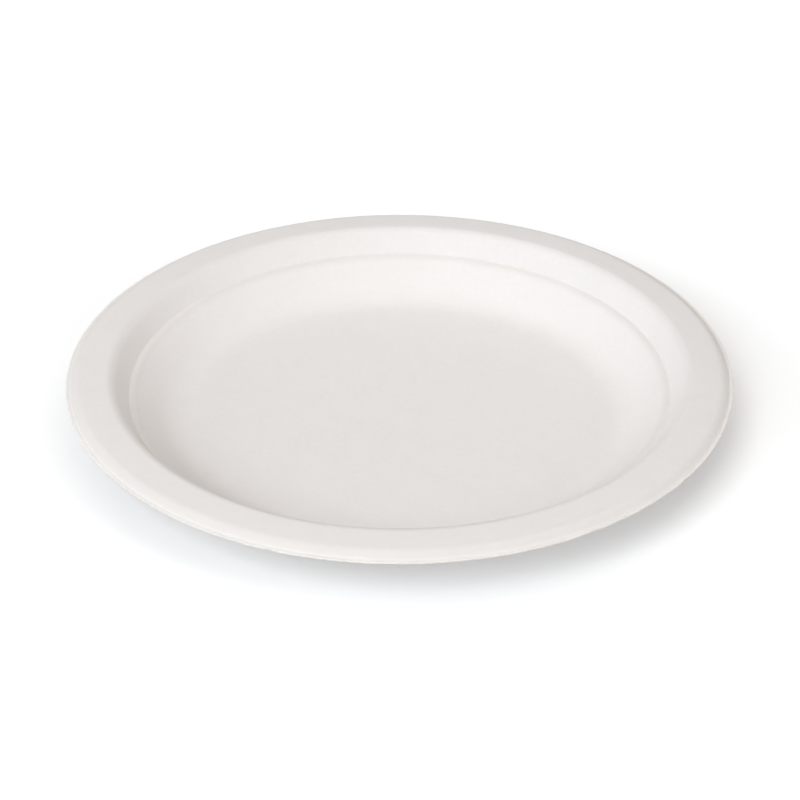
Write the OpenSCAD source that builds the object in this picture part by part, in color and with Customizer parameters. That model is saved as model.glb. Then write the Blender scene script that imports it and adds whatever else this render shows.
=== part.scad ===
// Round moulded-fibre paper plate: one sheet of pulp, pressed to shape and trimmed at its edge.
// The origin is at the centre of the underside of the floor, and +Z points up out of the dish.

/* [Overall] */
// Diameter across the trimmed edge
rim_d = 225; // [180:1:320]
// Height from the table to the corner of the crest
plate_h = 20; // [15:0.5:32]
// Thickness of the pressed fibre, the same all over
wall = 0.6; // [0.4:0.05:1.1]

/* [Rim] */
// Width of the flat lip that the trimming tool leaves outside the skirt
lip_w = 1.25; // [0.9:0.05:4]
// Depth of the top of the lip below the corner of the crest
lip_drop = 2.95; // [2.2:0.05:7]
// Slope of the outer skirt, in degrees below level
skirt_angle = 52; // [40:1:75]
// Width of the flange, from the corner of the crest to the corner of the brow
flange_w = 13; // [8:0.1:30]
// Slope of the flange towards its outside, in degrees below level
flange_fall = 4; // [0:0.5:6]

/* [Dish] */
// Slope of the wall above the shoulder, in degrees
upper_angle = 57.5; // [45:0.5:75]
// Depth of the shoulder below the corner of the crest
shoulder_depth = 7.85; // [6:0.05:9.5]
// Width of the shoulder, the step that a stacked plate rests on
shoulder_w = 1.9; // [1.3:0.1:3]
// Slope of the shoulder towards the middle of the dish, in degrees below level
shoulder_fall = 3; // [0:1:20]
// Slope of the wall below the shoulder, in degrees
lower_angle = 42; // [35:1:55]

/* [Bends] */
// Radius on the upper face between the floor and the wall
floor_bend = 16; // [4:0.5:22]
// Radius on the upper face at the rounded edge of the shoulder
shoulder_bend = 3.5; // [1.5:0.1:6]
// Radius on the upper face in the hollow corner behind the shoulder
heel_bend = 0.8; // [0.3:0.1:1.5]
// Radius on the upper face of the crest, between the wall and the flange
crest_bend = 4.5; // [1.5:0.1:6]
// Radius on the upper face of the brow, between the flange and the skirt
brow_bend = 4.8; // [1.5:0.1:6]
// Radius on the upper face in the hollow corner between the skirt and the lip
lip_bend = 0.8; // [0.3:0.1:1.2]
// Largest turn between two points on a bend, in degrees
bend_step = 4; // [2:1:8]

/* [Hidden] */
round_fn = 240;

// Corners of the upper face before it is rounded, each as [radius, height], from the edge inwards
flange_drop = flange_w * tan(flange_fall);
edge = [rim_d / 2, plate_h - lip_drop];
skirt_foot = edge - [lip_w, 0];
brow = skirt_foot + [-(lip_drop - flange_drop) / tan(skirt_angle), lip_drop - flange_drop];
crest = brow + [-flange_w, flange_drop];
heel = crest - [shoulder_depth / tan(upper_angle), shoulder_depth];
shoulder = heel - [shoulder_w, shoulder_w * tan(shoulder_fall)];
floor_corner = [shoulder[0] - (shoulder[1] - wall) / tan(lower_angle), wall];
middle = [0, wall];

// The upper face from the middle to the edge, as corners with the radius of the bend at each
corners = [middle, floor_corner, shoulder, heel, crest, brow, skirt_foot, edge];
bends = [0, floor_bend, shoulder_bend, heel_bend, crest_bend, brow_bend, lip_bend, 0];
last = len(corners) - 1;

// Direction in which the path runs from corner i to the next, in degrees above level
function heading(i) = let (run = corners[i + 1] - corners[i]) atan2(run[1], run[0]);

// How much of the straight on each side the bend at corner i takes up
function setback(i) = i == 0 || i == last ? 0 : bends[i] * tan(abs(heading(i) - heading(i - 1)) / 2);

// Share of the bends' radii that the straight from corner i to the next has room for
function room(i) = min(1, 0.98 * norm(corners[i + 1] - corners[i]) / (setback(i) + setback(i + 1)));

// Radius of the bend at corner i, made smaller where two bends would meet
function radius(i) = bends[i] * min(room(i - 1), room(i));

// Unit vectors along a heading and to its left, which is out of the upper face
function along(angle) = [cos(angle), sin(angle)];
function normal(angle) = [-sin(angle), cos(angle)];

// Points round the bend at corner i, on the face that lies a given depth under the upper face.
// A hollow bend turns to the left and has its centre above the sheet, a crowned one has it below.
function bend_points(i, depth) =
    let (
        start_heading = heading(i - 1),
        turn = heading(i) - start_heading,
        steps = ceil(abs(turn) / bend_step),
        to_centre = sign(turn) * radius(i),
        start = corners[i] - radius(i) * tan(abs(turn) / 2) * along(start_heading),
        centre = start + to_centre * normal(start_heading)
    )
    [for (k = [0 : steps]) centre - (to_centre + depth) * normal(start_heading + turn * k / steps)];

// One face of the sheet from the middle to the edge, both of which lie level
function face_points(depth) = [
    middle - [0, depth],
    for (i = [1 : last - 1]) each bend_points(i, depth),
    edge - [0, depth],
];

function reversed(points) = [for (i = [len(points) - 1 : -1 : 0]) points[i]];

// Half of the plate's section: the upper face out to the cut edge, and the underside back again
module half_section() {
    polygon(concat(face_points(0), reversed(face_points(wall))));
}

// The plate
module plate() {
    color([0.92, 0.905, 0.885])
        rotate_extrude($fn = round_fn)
            half_section();
}

plate();
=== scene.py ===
"""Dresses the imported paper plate: one sheet of pressed plant fibre with a trimmed edge.

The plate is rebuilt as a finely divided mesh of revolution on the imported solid's own section,
with the slight ripple, the uneven cut edge and the pulp texture that such a sheet has.
"""

import math

import bpy
import numpy as np
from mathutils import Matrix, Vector


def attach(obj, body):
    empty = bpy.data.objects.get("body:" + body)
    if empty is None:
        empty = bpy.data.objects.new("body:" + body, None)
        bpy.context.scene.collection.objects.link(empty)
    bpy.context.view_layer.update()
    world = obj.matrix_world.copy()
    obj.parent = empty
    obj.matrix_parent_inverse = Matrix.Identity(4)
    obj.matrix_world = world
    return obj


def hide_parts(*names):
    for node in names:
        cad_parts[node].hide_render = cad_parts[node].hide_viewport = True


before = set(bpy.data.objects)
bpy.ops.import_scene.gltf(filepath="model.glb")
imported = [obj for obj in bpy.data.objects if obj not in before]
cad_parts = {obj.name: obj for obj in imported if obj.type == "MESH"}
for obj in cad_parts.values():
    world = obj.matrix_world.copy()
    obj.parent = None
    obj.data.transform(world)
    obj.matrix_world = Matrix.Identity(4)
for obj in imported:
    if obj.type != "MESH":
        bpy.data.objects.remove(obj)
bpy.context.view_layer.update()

MM = 0.001

# The plate's section, in millimetres and degrees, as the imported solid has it
RIM_RADIUS = 112.5
HEIGHT = 20.0
WALL = 0.6
LIP_WIDTH = 1.25
LIP_DROP = 2.95
SKIRT_ANGLE = 52.0
FLANGE_WIDTH = 13.0
FLANGE_FALL = 4.0
UPPER_ANGLE = 57.5
SHOULDER_DEPTH = 7.85
SHOULDER_WIDTH = 1.9
SHOULDER_FALL = 3.0
LOWER_ANGLE = 42.0
FLOOR_BEND = 16.0
SHOULDER_BEND = 3.5
HEEL_BEND = 0.8
CREST_BEND = 4.5
BROW_BEND = 4.8
LIP_BEND = 0.8

# How finely the mesh is divided: spokes round the axis, degrees of bend, and millimetres of straight
SPOKES = 420
BEND_STEP = 3.5
LONGEST_STRAIGHT = 6.0

# The cut edge: the radius of its two small rounds in millimetres, the angles of the points on each,
# and where the points of the flat band between them lie
EDGE_ROUND = 0.2
ROUND_ANGLES = (60, 30, 0)
BAND_SHARES = (0.35, 0.5, 0.65)

# Small departures from the perfect form, guessed from such plates, in millimetres, and the numbers of
# lobes round the rim that their waves have
RIPPLE = 0.03
RIPPLE_GROWTH = 1.5
RIPPLE_LOBES = range(3, 12)
EDGE_ROUGHNESS = 0.11
EDGE_LOBES = range(20, 180, 3)
EDGE_WAVES = 0.35
EDGE_FRAY = 0.3
WAVE_SPREAD = 0.3
SEED = 7

# Material slots of the mesh
SLOT_OF = {"upper": 0, "edge": 1, "lower": 2}


def tan(degrees):
    return math.tan(math.radians(degrees))


def along(angle):
    """Unit vector at an angle in degrees above level."""
    return np.array([math.cos(math.radians(angle)), math.sin(math.radians(angle))])


def normal(angle):
    """Unit vector to the left of that, out of the sheet's upper face."""
    return np.array([-math.sin(math.radians(angle)), math.cos(math.radians(angle))])


def section_corners():
    """Corners of the upper face as [radius, height], from the middle to the edge, and the bend at each."""
    flange_drop = FLANGE_WIDTH * tan(FLANGE_FALL)
    skirt_height = LIP_DROP - flange_drop
    edge = np.array([RIM_RADIUS, HEIGHT - LIP_DROP])
    foot = edge - [LIP_WIDTH, 0]
    brow = foot + [-skirt_height / tan(SKIRT_ANGLE), skirt_height]
    crest = brow + [-FLANGE_WIDTH, flange_drop]
    heel = crest - [SHOULDER_DEPTH / tan(UPPER_ANGLE), SHOULDER_DEPTH]
    shoulder = heel - [SHOULDER_WIDTH, SHOULDER_WIDTH * tan(SHOULDER_FALL)]
    floor_corner = np.array([shoulder[0] - (shoulder[1] - WALL) / tan(LOWER_ANGLE), WALL])
    middle = np.array([0, WALL])
    corners = [middle, floor_corner, shoulder, heel, crest, brow, foot, edge]
    bends = [0, FLOOR_BEND, SHOULDER_BEND, HEEL_BEND, CREST_BEND, BROW_BEND, LIP_BEND, 0]
    return corners, bends


def face_points(corners, bends, depth):
    """Points of the face that lies a given depth under the upper one, from the middle to the edge."""
    headings = []
    for start, end in zip(corners, corners[1:]):
        run = end - start
        headings.append(math.degrees(math.atan2(run[1], run[0])))
    points = [corners[0] - depth * normal(headings[0])]
    for i in range(1, len(corners) - 1):
        turn = headings[i] - headings[i - 1]
        steps = max(2, math.ceil(abs(turn) / BEND_STEP))
        to_centre = math.copysign(bends[i], turn)
        start = corners[i] - bends[i] * tan(abs(turn) / 2) * along(headings[i - 1])
        centre = start + to_centre * normal(headings[i - 1])
        bend = [
            centre - (to_centre + depth) * normal(headings[i - 1] + turn * k / steps)
            for k in range(steps + 1)
        ]
        points += divided(points[-1], bend[0]) + bend
    end = corners[-1] - depth * normal(headings[-1])
    return points + divided(points[-1], end) + [end]


def divided(start, end):
    """Points that divide a straight into stretches no longer than LONGEST_STRAIGHT, ends left out."""
    count = math.ceil(np.linalg.norm(end - start) / LONGEST_STRAIGHT)
    return [start + (end - start) * k / count for k in range(1, count)]


def plate_section():
    """The whole section, upper face first, and for each ring the part of the sheet that it is on."""
    corners, bends = section_corners()
    upper = face_points(corners, bends, 0)
    lower = face_points(corners, bends, WALL)
    # The cut edge is a flat band between two small rounds
    top, bottom = upper.pop(), lower.pop()
    band = [top - [EDGE_ROUND, 0]]
    band += [top - [EDGE_ROUND, EDGE_ROUND] + EDGE_ROUND * along(angle) for angle in ROUND_ANGLES]
    band += [top + (bottom - top) * share for share in BAND_SHARES]
    band += [bottom + [-EDGE_ROUND, EDGE_ROUND] + EDGE_ROUND * along(-angle) for angle in ROUND_ANGLES[::-1]]
    band += [bottom - [EDGE_ROUND, 0]]
    points = np.array(upper + band + lower[::-1])
    places = ["upper"] * len(upper) + ["edge"] * len(band) + ["lower"] * len(lower)
    return points, places


def rim_waves(rng, all_lobes):
    """A closed random line round the rim, with one value a spoke: one wave for each number of lobes."""
    angle = np.arange(SPOKES) * 2 * math.pi / SPOKES
    line = np.zeros(SPOKES)
    for lobes in all_lobes:
        line += np.cos(lobes * angle + rng.uniform(0, 2 * math.pi)) * rng.normal(1, WAVE_SPREAD)
    return line / math.sqrt(len(all_lobes) / 2)


def uneven_rings(points, places):
    """Radius and height of every point of every ring, rippled and roughened as such a sheet is."""
    rng = np.random.default_rng(SEED)
    radius = np.repeat(points[:, :1], SPOKES, axis=1)
    height = np.repeat(points[:, 1:], SPOKES, axis=1)

    # The ripple grows from the foot of the wall to the rim, so that the floor stays flat on its table
    corners, bends = section_corners()
    floor_radius = corners[1][0]
    share = np.clip((radius - floor_radius) / (RIM_RADIUS - floor_radius), 0, 1) ** RIPPLE_GROWTH
    height += share * RIPPLE * rim_waves(rng, RIPPLE_LOBES)

    # The trimming tool leaves the edge a little uneven
    at_edge = np.array([place == "edge" for place in places])
    waves = rim_waves(rng, EDGE_LOBES)
    fray = rng.normal(0, 1, (at_edge.sum(), SPOKES))
    radius[at_edge] += EDGE_ROUGHNESS * (EDGE_WAVES * waves + EDGE_FRAY * fray)
    radius[at_edge] -= EDGE_ROUGHNESS
    return radius, height


def ring_faces(places):
    """Faces between the rings and round the two poles, and the material slot of each.

    The first and the last of the places are the poles. Their points come after those of the rings.
    Where two rings lie on different parts of the sheet, the faces between them have the cut edge's look.
    """
    ring_count = len(places) - 2
    top_pole = ring_count * SPOKES
    bottom_pole = top_pole + 1
    faces, slots = [], []
    for spoke in range(SPOKES):
        after = (spoke + 1) % SPOKES
        faces.append((top_pole, spoke, after))
        slots.append(SLOT_OF["upper"])
        for ring in range(ring_count - 1):
            here, beyond = ring * SPOKES, (ring + 1) * SPOKES
            faces.append((here + spoke, beyond + spoke, beyond + after, here + after))
            this_place, next_place = places[ring + 1], places[ring + 2]
            slots.append(SLOT_OF[this_place if this_place == next_place else "edge"])
        last = (ring_count - 1) * SPOKES
        faces.append((last + spoke, bottom_pole, last + after))
        slots.append(SLOT_OF["lower"])
    return faces, slots


def build_plate():
    """The plate's mesh: rings of the section round the axis, closed by a pole above and one below."""
    points, places = plate_section()
    radius, height = uneven_rings(points, places)
    azimuth = np.arange(SPOKES) * 2 * math.pi / SPOKES
    rings = slice(1, -1)
    x = radius[rings] * np.cos(azimuth)
    y = radius[rings] * np.sin(azimuth)
    vertices = np.stack([x, y, height[rings]], axis=-1).reshape(-1, 3)
    poles = np.array([[0, 0, points[0][1]], [0, 0, points[-1][1]]])
    vertices = np.concatenate([vertices, poles]) * MM
    faces, slots = ring_faces(places)

    mesh = bpy.data.meshes.new("fibre_plate")
    mesh.from_pydata([tuple(vertex) for vertex in vertices], [], faces)
    mesh.polygons.foreach_set("material_index", slots)
    mesh.polygons.foreach_set("use_smooth", [True] * len(faces))
    mesh.validate()
    mesh.update()
    plate = bpy.data.objects.new("fibre_plate", mesh)
    bpy.context.scene.collection.objects.link(plate)
    return plate


class Nodes:
    """Short ways to add and join the nodes of one material or world."""

    def __init__(self, tree):
        self.tree = tree
        self.tree.nodes.clear()

    def add(self, kind, **settings):
        node = self.tree.nodes.new(kind)
        for name, value in settings.items():
            setattr(node, name, value)
        return node

    def join(self, source, target):
        self.tree.links.new(source, target)

    def math(self, operation, first, second=0.0):
        node = self.add("ShaderNodeMath", operation=operation)
        for socket, value in zip(node.inputs, (first, second)):
            if isinstance(value, (int, float)):
                socket.default_value = value
            else:
                self.join(value, socket)
        return node.outputs[0]

    def noise(self, vector, scale, detail):
        node = self.add("ShaderNodeTexNoise")
        node.inputs["Scale"].default_value = scale
        node.inputs["Detail"].default_value = detail
        self.join(vector, node.inputs["Vector"])
        return node.outputs["Fac"]

    def stretched(self, vector, angle, scale):
        """The place turned about Z by an angle and scaled, so that a noise on it lies in streaks."""
        node = self.add("ShaderNodeMapping", vector_type="TEXTURE")
        node.inputs["Rotation"].default_value = (0, 0, math.radians(angle))
        node.inputs["Scale"].default_value = scale
        self.join(vector, node.inputs["Vector"])
        return node.outputs["Vector"]

    def off_axis(self, vector):
        """Distance of a place from the plate's axis."""
        level = self.add("ShaderNodeVectorMath", operation="MULTIPLY")
        level.inputs[1].default_value = (1, 1, 0)
        self.join(vector, level.inputs[0])
        length = self.add("ShaderNodeVectorMath", operation="LENGTH")
        self.join(level.outputs["Vector"], length.inputs[0])
        return length.outputs["Value"]

    def between(self, value, low, high, to_low, to_high):
        """The value's place between low and high, as a number from to_low to to_high."""
        node = self.add("ShaderNodeMapRange")
        for name, number in zip(("From Min", "From Max", "To Min", "To Max"), (low, high, to_low, to_high)):
            node.inputs[name].default_value = number
        self.join(value, node.inputs["Value"])
        return node.outputs["Result"]

    def weighted(self, parts):
        """The sum of some values, each times its weight."""
        total = None
        for value, weight in parts:
            part = self.math("MULTIPLY", value, weight)
            total = part if total is None else self.math("ADD", total, part)
        return total

    def mix(self, factor, first, second):
        """Two colours mixed. A mix node's sockets 6 and 7 and its output 2 are the ones for colours."""
        node = self.add("ShaderNodeMix", data_type="RGBA")
        self.join(factor, node.inputs["Factor"])
        for socket, colour in ((node.inputs[6], first), (node.inputs[7], second)):
            if isinstance(colour, tuple):
                socket.default_value = (*colour, 1)
            else:
                self.join(colour, socket)
        return node.outputs[2]


# Linear colours: the fibre's own tones and flecks, the cut edge's, which is partly painted light, and a
# painted shade
FIBRE_COLOUR = (0.775, 0.744, 0.726)
FIBRE_SHADE = (0.737, 0.707, 0.688)
# The cut edge: warmer, as raw fibre is, and paler than the faces, which is painted light that the lamps
# don't bring to it
EDGE_TONE_AND_PAINTED_LIGHT = (0.895, 0.838, 0.775)
PAINTED_SHADE_COLOUR = (0.669, 0.632, 0.600)
FLECK_COLOUR = (0.560, 0.490, 0.400)

# Short matted fibres, in metres and degrees, and the noise values at which a streak begins to show and
# shows in full
FIBRE_LENGTH = 0.0016
FIBRE_WIDTH = 0.00016
FIBRE_DEPTH = 0.00048
FIBRE_ANGLES = (8, 47, 83, 121, 158)
FIBRE_FAINT = 0.52
FIBRE_CLEAR = 0.74

# Clouds and flock in the pulp: noise scales, and the noise values that count as none and as full
CLOUD_SCALE = 90.0
CLOUD_DETAIL = 3.0
FLOCK_SCALE = 700.0
FLOCK_DETAIL = 2.0
NOISE_NONE = 0.3
NOISE_FULL = 0.7

# The share of each in the tone, and its height in the relief
CLOUD_TONE = 0.3
FLOCK_TONE = 0.4
FIBRE_TONE = 0.3
CLOUD_RELIEF = 0.8
FLOCK_RELIEF = 0.5
FIBRE_RELIEF = 0.6

# Flecks: how close together they are, their size as a share of that, and their strength
FLECK_SCALE = 60.0
FLECK_CORE = 0.012
FLECK_RIM = 0.020
FLECK_STRENGTH = 0.35

# Zones of painted shade: the radii in metres between which each comes and goes, and how much darker it is,
# set by measure against the photograph
STEP_START = 0.0881
STEP_FULL = 0.0897
STEP_FADES = 0.0914
STEP_END = 0.0921
STEP_PAINTED_SHADE = 0.39
FLANGE_START = 0.0950
FLANGE_FULL = 0.0970
FLANGE_PAINTED_SHADE = 0.16
SKIRT_START = 0.1075
SKIRT_FULL = 0.1100
SKIRT_PAINTED_SHADE = 0.55
LIP_START = 0.1106
LIP_FULL = 0.1113
SHADE_BORDER_WAVER = 0.0009
SHADE_BORDER_WAVER_SCALE = 220.0

# The print of the forming screen on the underside, and the depth in metres of each face's relief
SCREEN_PITCH = 0.0009
SCREEN_RELIEF = 1.2
UPPER_RELIEF = 0.00002
EDGE_RELIEF = 0.00006
LOWER_RELIEF = 0.00003

# Paper's low sheen, rougher where the tone is darker
SHEEN = 0.35
DARK_ROUGHNESS = 0.72
PALE_ROUGHNESS = 0.58


def fibre_material(name, colour, relief, screen=False):
    """Pressed pulp: clouded off-white, matted short fibres, a few flecks, a fine relief and painted shade on
    some zones.
    """
    material = bpy.data.materials.new(name)
    material.use_nodes = True
    n = Nodes(material.node_tree)
    place = n.add("ShaderNodeTexCoord").outputs["Object"]

    fibres = matted_fibres(n, place)
    clouds = n.between(n.noise(place, CLOUD_SCALE, CLOUD_DETAIL), NOISE_NONE, NOISE_FULL, 0.0, 1.0)
    flock = n.between(n.noise(place, FLOCK_SCALE, FLOCK_DETAIL), NOISE_NONE, NOISE_FULL, 0.0, 1.0)
    tone = n.weighted([(clouds, CLOUD_TONE), (flock, FLOCK_TONE), (fibres, FIBRE_TONE)])
    base = n.mix(tone, FIBRE_SHADE, colour)
    base = n.mix(flecks(n, place), base, FLECK_COLOUR)
    # Painted shade darkens the step, the flange and the skirt
    base = n.mix(painted_shade_zones(n, place), base, PAINTED_SHADE_COLOUR)

    heights = [(fibres, FIBRE_RELIEF), (flock, FLOCK_RELIEF), (clouds, CLOUD_RELIEF)]
    if screen:
        heights.append((screen_imprint(n, place), SCREEN_RELIEF))
    bump = n.add("ShaderNodeBump")
    bump.inputs["Strength"].default_value = 1.0
    bump.inputs["Distance"].default_value = relief
    n.join(n.weighted(heights), bump.inputs["Height"])

    shader = n.add("ShaderNodeBsdfPrincipled")
    shader.inputs["Specular IOR Level"].default_value = SHEEN
    n.join(base, shader.inputs["Base Color"])
    n.join(n.between(tone, 0.0, 1.0, DARK_ROUGHNESS, PALE_ROUGHNESS), shader.inputs["Roughness"])
    n.join(bump.outputs["Normal"], shader.inputs["Normal"])
    n.join(shader.outputs[0], n.add("ShaderNodeOutputMaterial").inputs["Surface"])
    return material


def matted_fibres(n, place):
    """Matted fibres: the strongest of several sets of streaks, each set lying its own way."""
    mat = None
    for angle in FIBRE_ANGLES:
        streaks = n.noise(n.stretched(place, angle, (FIBRE_LENGTH, FIBRE_WIDTH, FIBRE_DEPTH)), 1.0, 1.0)
        mat = streaks if mat is None else n.math("MAXIMUM", mat, streaks)
    return n.between(mat, FIBRE_FAINT, FIBRE_CLEAR, 0.0, 1.0)


def flecks(n, place):
    """Rare flecks of darker fibre."""
    spots = n.add("ShaderNodeTexVoronoi", feature="F1")
    spots.inputs["Scale"].default_value = FLECK_SCALE
    n.join(place, spots.inputs["Vector"])
    return n.between(spots.outputs["Distance"], FLECK_CORE, FLECK_RIM, FLECK_STRENGTH, 0.0)


def painted_shade_zones(n, place):
    """Painted shade: zones made a little darker than the lamps alone make them.

    They are the step of the shoulder, the turned-down skirt and, less so, the flange. The narrow lip
    outside them is left as it is. The borders of these zones waver.
    """
    waver = n.math("SUBTRACT", n.noise(place, SHADE_BORDER_WAVER_SCALE, 2.0), 0.5)
    radius = n.math("ADD", n.off_axis(place), n.math("MULTIPLY", waver, SHADE_BORDER_WAVER))
    step = n.between(radius, STEP_START, STEP_FULL, 0.0, STEP_PAINTED_SHADE)
    step = n.math("MULTIPLY", step, n.between(radius, STEP_FADES, STEP_END, 1.0, 0.0))
    flange = n.between(radius, FLANGE_START, FLANGE_FULL, 0.0, FLANGE_PAINTED_SHADE)
    skirt = n.between(radius, SKIRT_START, SKIRT_FULL, 0.0, SKIRT_PAINTED_SHADE)
    # Painted shade: the darkest of the three zones, taken off again on the lip
    pressed = n.math("MAXIMUM", step, n.math("MAXIMUM", flange, skirt))
    return n.math("MULTIPLY", pressed, n.between(radius, LIP_START, LIP_FULL, 1.0, 0.0))


def screen_imprint(n, place):
    """The print of the forming screen: rows of small round knuckles."""
    axes = n.add("ShaderNodeSeparateXYZ")
    n.join(place, axes.inputs[0])
    waves = [
        n.math("SINE", n.math("MULTIPLY", axis, 2 * math.pi / SCREEN_PITCH))
        for axis in (axes.outputs["X"], axes.outputs["Y"])
    ]
    return n.math("MULTIPLY", waves[0], waves[1])


def dress_plate():
    """The plate with its three looks, in the order of the mesh's material slots."""
    plate = build_plate()
    plate.data.materials.append(fibre_material("fibre_upper", FIBRE_COLOUR, UPPER_RELIEF))
    # The cut edge's colour is partly painted light
    plate.data.materials.append(fibre_material("fibre_cut_edge", EDGE_TONE_AND_PAINTED_LIGHT, EDGE_RELIEF))
    plate.data.materials.append(fibre_material("fibre_lower", FIBRE_COLOUR, LOWER_RELIEF, screen=True))
    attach(plate, "root")
    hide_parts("plate")


# The floor, in metres: it lies a hair under the plate's base, so that the two faces don't coincide.
# Its own glow, for seen rays alone, makes up for the part of the light that it doesn't return, which
# also lightens the plate's shadow. It grows with the distance from the plate, as the lamps hardly
# reach the far floor.
FLOOR_SIZE = 16.0
FLOOR_UNDER = 0.0001
FLOOR_SHADE = 0.8
FLOOR_GLOW = 0.25
FLOOR_GLOW_START = 0.25
FLOOR_GLOW_FULL = 0.90


def seen_rays(n):
    """1 for rays from the camera, off a glossy surface or through a clear one, and 0 for the rest."""
    rays = n.add("ShaderNodeLightPath")
    seen = n.math("MAXIMUM", rays.outputs["Is Camera Ray"], rays.outputs["Is Glossy Ray"])
    return n.math("MAXIMUM", seen, rays.outputs["Is Transmission Ray"])


def floor_material():
    """Plain pale, and seen as white wherever no shadow falls."""
    material = bpy.data.materials.new("floor_white")
    material.use_nodes = True
    n = Nodes(material.node_tree)
    diffuse = n.add("ShaderNodeBsdfDiffuse")
    diffuse.inputs["Color"].default_value = (FLOOR_SHADE, FLOOR_SHADE, FLOOR_SHADE, 1)
    far_off = n.off_axis(n.add("ShaderNodeTexCoord").outputs["Object"])
    strength = n.between(far_off, FLOOR_GLOW_START, FLOOR_GLOW_FULL, FLOOR_GLOW, 1.0)
    glow = n.add("ShaderNodeEmission")
    n.join(n.math("MULTIPLY", seen_rays(n), strength), glow.inputs["Strength"])
    both = n.add("ShaderNodeAddShader")
    n.join(diffuse.outputs[0], both.inputs[0])
    n.join(glow.outputs[0], both.inputs[1])
    n.join(both.outputs[0], n.add("ShaderNodeOutputMaterial").inputs["Surface"])
    return material


def build_floor():
    """A plain pale floor."""
    mesh = bpy.data.meshes.new("floor")
    half = FLOOR_SIZE / 2
    signs = ((-1, -1), (1, -1), (1, 1), (-1, 1))
    corners = [(across * half, away * half, -FLOOR_UNDER) for across, away in signs]
    mesh.from_pydata(corners, [], [(0, 1, 2, 3)])
    mesh.materials.append(floor_material())
    floor = bpy.data.objects.new("floor", mesh)
    bpy.context.scene.collection.objects.link(floor)


WORLD_LEVEL = 0.04


def light_world():
    """Even light from all round, behind a background that the camera sees white."""
    world = bpy.data.worlds.new("studio")
    bpy.context.scene.world = world
    world.use_nodes = True
    n = Nodes(world.node_tree)
    background = n.add("ShaderNodeBackground")
    background.inputs["Color"].default_value = (1, 1, 1, 1)
    n.join(n.between(seen_rays(n), 0.0, 1.0, WORLD_LEVEL, 1.0), background.inputs["Strength"])
    n.join(background.outputs[0], n.add("ShaderNodeOutputWorld").inputs["Surface"])


# Lamps: their distance in metres, the parts a side that their light is summed over, and slight tints,
# because the photograph's bright walls are more neutral than its dark ones
LAMP_DISTANCE = 5.0
LAMP_PARTS = 9
WARM = (1.06, 0.99, 0.94)
COOL = (0.94, 1.01, 1.06)
HARDLY_COOL = (0.98, 1.00, 1.02)
NEUTRAL = (1.0, 1.0, 1.0)


def softbox(name, turn, rise, size, level, tint):
    """A square lamp that looks at the plate. Its level is the light that it alone gives a level surface."""
    flat = LAMP_DISTANCE * math.cos(math.radians(rise))
    place = Vector((
        flat * math.cos(math.radians(turn)),
        flat * math.sin(math.radians(turn)),
        LAMP_DISTANCE * math.sin(math.radians(rise)),
    ))
    facing = (-place).to_track_quat("-Z", "Y")
    data = bpy.data.lights.new(name, "AREA")
    data.size = size
    data.color = tint
    data.energy = level * math.pi / light_arriving(place, facing, size)
    lamp = bpy.data.objects.new(name, data)
    lamp.location = place
    lamp.rotation_euler = facing.to_euler()
    bpy.context.scene.collection.objects.link(lamp)


def light_arriving(place, facing, size):
    """The share of a lamp's power that falls on a level surface at the middle, summed over its parts."""
    steps = [((i + 0.5) / LAMP_PARTS - 0.5) * size for i in range(LAMP_PARTS)]
    arriving = 0.0
    for across in steps:
        for upward in steps:
            part = place + facing @ Vector((across, upward, 0))
            reach = part.length
            leaving = part.dot(place) / (reach * place.length)
            arriving += leaving * part.z / reach / (math.pi * reach**2) / LAMP_PARTS**2
    return arriving


def light_plate():
    """The world and five lamps. The warm top and the cool key are white together on a level surface."""
    light_world()
    softbox("top", turn=0, rise=88, size=6.0, level=0.37, tint=WARM)
    softbox("key", turn=240, rise=40, size=3.0, level=0.37, tint=COOL)
    softbox("right_fill", turn=330, rise=40, size=3.0, level=0.065, tint=NEUTRAL)
    softbox("left_low_fill", turn=180, rise=18, size=2.5, level=0.09, tint=HARDLY_COOL)
    softbox("right_low_fill", turn=330, rise=18, size=2.5, level=0.07, tint=NEUTRAL)


# The camera, fitted to the photograph's view: metres, degrees, and millimetres of lens and sensor
CAMERA_DISTANCE = 1.0135
CAMERA_RISE = 31.16
CAMERA_LENS = 135.0
CAMERA_SENSOR = 36.0
CAMERA_CENTRE = (0.0, 0.0, 0.020)
CAMERA_AIM = (0.00015, -0.00608, 0.00994)
NEAREST_SEEN = 0.05
FARTHEST_SEEN = 50.0


def place_camera():
    """It looks from the front and above, at a point just in front of the plate's middle."""
    rise = math.radians(CAMERA_RISE)
    back = Vector((0, -math.cos(rise), math.sin(rise)))
    data = bpy.data.cameras.new("camera")
    data.lens = CAMERA_LENS
    data.sensor_width = CAMERA_SENSOR
    data.clip_start = NEAREST_SEEN
    data.clip_end = FARTHEST_SEEN
    camera = bpy.data.objects.new("camera", data)
    camera.location = Vector(CAMERA_CENTRE) + back * CAMERA_DISTANCE
    view = Vector(CAMERA_AIM) - camera.location
    camera.rotation_euler = view.to_track_quat("-Z", "Y").to_euler()
    bpy.context.scene.collection.objects.link(camera)
    bpy.context.scene.camera = camera


bpy.context.scene.view_settings.view_transform = "Standard"
dress_plate()
build_floor()
light_plate()
place_camera()
